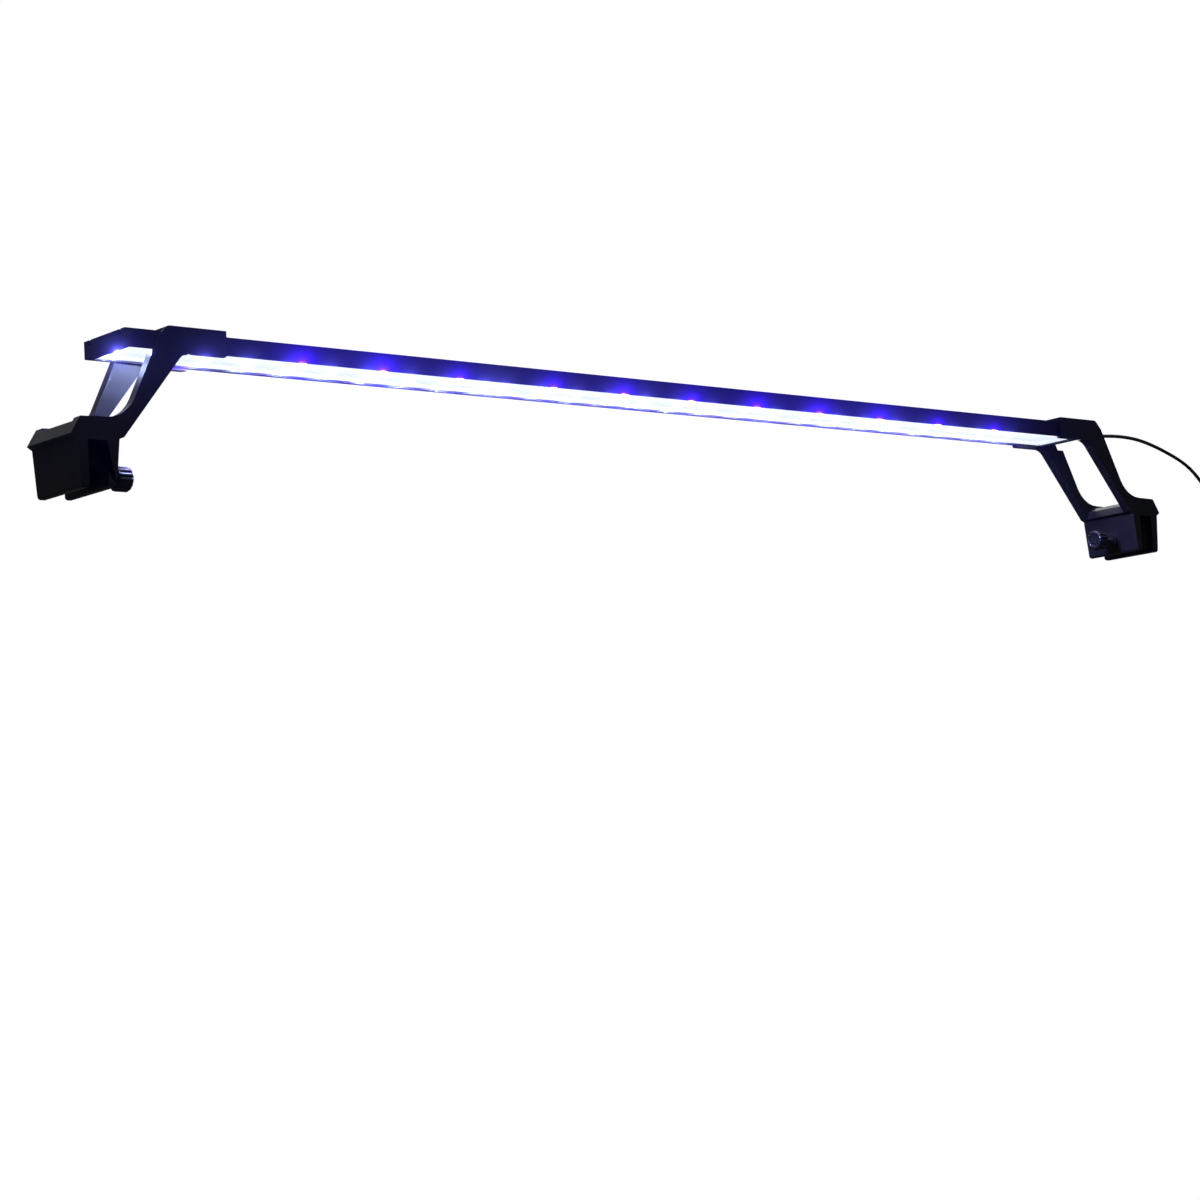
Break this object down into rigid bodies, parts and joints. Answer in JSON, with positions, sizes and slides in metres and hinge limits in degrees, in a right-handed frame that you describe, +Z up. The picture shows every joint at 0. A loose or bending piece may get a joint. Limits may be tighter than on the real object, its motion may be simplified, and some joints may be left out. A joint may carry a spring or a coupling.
{
  "type": "aquarium light",
  "caption": "Slim LED light bar with white and blue LEDs, held over a tank by two sliding clamp brackets with thumb screws, with a cord and plug-in adapter.",
  "frame": {"origin": "centre of the footprint on the surface that the clamp jaws stand on, without the cord", "axes": "+X along the bar towards the cord's end, +Y away from the viewer's side, +Z up; the light shines down"},
  "size_m": [1.153, 0.0621, 0.092],
  "materials": {
    "bar_aluminium": "black anodised, fine brushed along the bar",
    "cap_plastic": "moulded black, fine texture",
    "gasket_rubber": "matte",
    "screw_steel": "black zinc plated",
    "tape_white": "matte",
    "board_black": "black solder mask, satin",
    "wire_red": "satin",
    "led_white": "yellow phosphor window in a white package",
    "led_blue": "clear window in a white package",
    "resistor_black": "matte with bright ends",
    "cover_clear": "clear acrylic, gloss",
    "seal_silicone": "translucent grey",
    "gland_rubber": "matte",
    "bracket_plastic": "moulded black, semi gloss",
    "pad_rubber": "matte",
    "nut_steel": "bright zinc plated",
    "clamp_plastic": "moulded black, semi gloss",
    "cord_black": "satin",
    "tie_black": "matte",
    "adapter_plastic": "moulded black, fine texture",
    "pin_metal": "nickel plated",
    "circuit_green": "satin"
  },
  "bodies": {
    "light_bar": {"bar_extrusion": "bar_aluminium", "end_cap_left": "cap_plastic", "end_cap_right": "cap_plastic", "end_cap_gaskets": "gasket_rubber", "end_cap_screws": "screw_steel", "thermal_tape": "tape_white", "led_board_left": "board_black", "led_board_right": "board_black", "board_link_wires": "wire_red", "white_leds": "led_white", "blue_leds": "led_blue", "resistors": "resistor_black", "lens_cover": "cover_clear", "cover_seals": "seal_silicone", "power_wires": "wire_red", "cable_gland": "gland_rubber", "cord_lead": "cord_black", "cord_coil": "cord_black", "cord_tail": "cord_black", "cord_tie": "tie_black", "adapter_strain_relief": "gland_rubber", "adapter_lower_shell": "adapter_plastic", "adapter_upper_shell": "adapter_plastic", "adapter_pins": "pin_metal", "adapter_circuit": "circuit_green"},
    "left_bracket": {"left_bracket": "bracket_plastic", "left_glass_pad": "pad_rubber", "left_clamp_nut": "nut_steel"},
    "left_pressure_pad": {"left_pressure_pad": "pad_rubber"},
    "left_clamp_screw": {"left_clamp_screw": "clamp_plastic", "left_clamp_knob": "clamp_plastic"},
    "right_bracket": {"right_bracket": "bracket_plastic", "right_glass_pad": "pad_rubber", "right_clamp_nut": "nut_steel"},
    "right_pressure_pad": {"right_pressure_pad": "pad_rubber"},
    "right_clamp_screw": {"right_clamp_screw": "clamp_plastic", "right_clamp_knob": "clamp_plastic"}
  },
  "joints": [
    {"name": "left_bracket_slide", "type": "slide", "parent": "light_bar", "child": "left_bracket", "axis": [-1, 0, 0], "range_m": [-0.014, 0.036]},
    {"name": "left_pad_advance", "type": "slide", "parent": "left_bracket", "child": "left_pressure_pad", "axis": [-1, 0, 0], "range_m": [0, 0.008]},
    {"name": "left_screw_turn", "type": "hinge", "parent": "left_pressure_pad", "child": "left_clamp_screw", "pos_m": [-0.427, 0, 0.01], "axis": [-1, 0, 0], "range_deg": [0, 3600]},
    {"name": "right_bracket_slide", "type": "slide", "parent": "light_bar", "child": "right_bracket", "axis": [1, 0, 0], "range_m": [-0.05, 0]},
    {"name": "right_pad_advance", "type": "slide", "parent": "right_bracket", "child": "right_pressure_pad", "axis": [1, 0, 0], "range_m": [0, 0.008]},
    {"name": "right_screw_turn", "type": "hinge", "parent": "right_pressure_pad", "child": "right_clamp_screw", "pos_m": [0.427, 0, 0.01], "axis": [1, 0, 0], "range_deg": [0, 3600]}
  ],
  "couplings": [
    {"joint": "left_screw_turn", "follows": "left_pad_advance", "rad_per_m": 7853.9},
    {"joint": "right_screw_turn", "follows": "right_pad_advance", "rad_per_m": 7853.9}
  ]
}
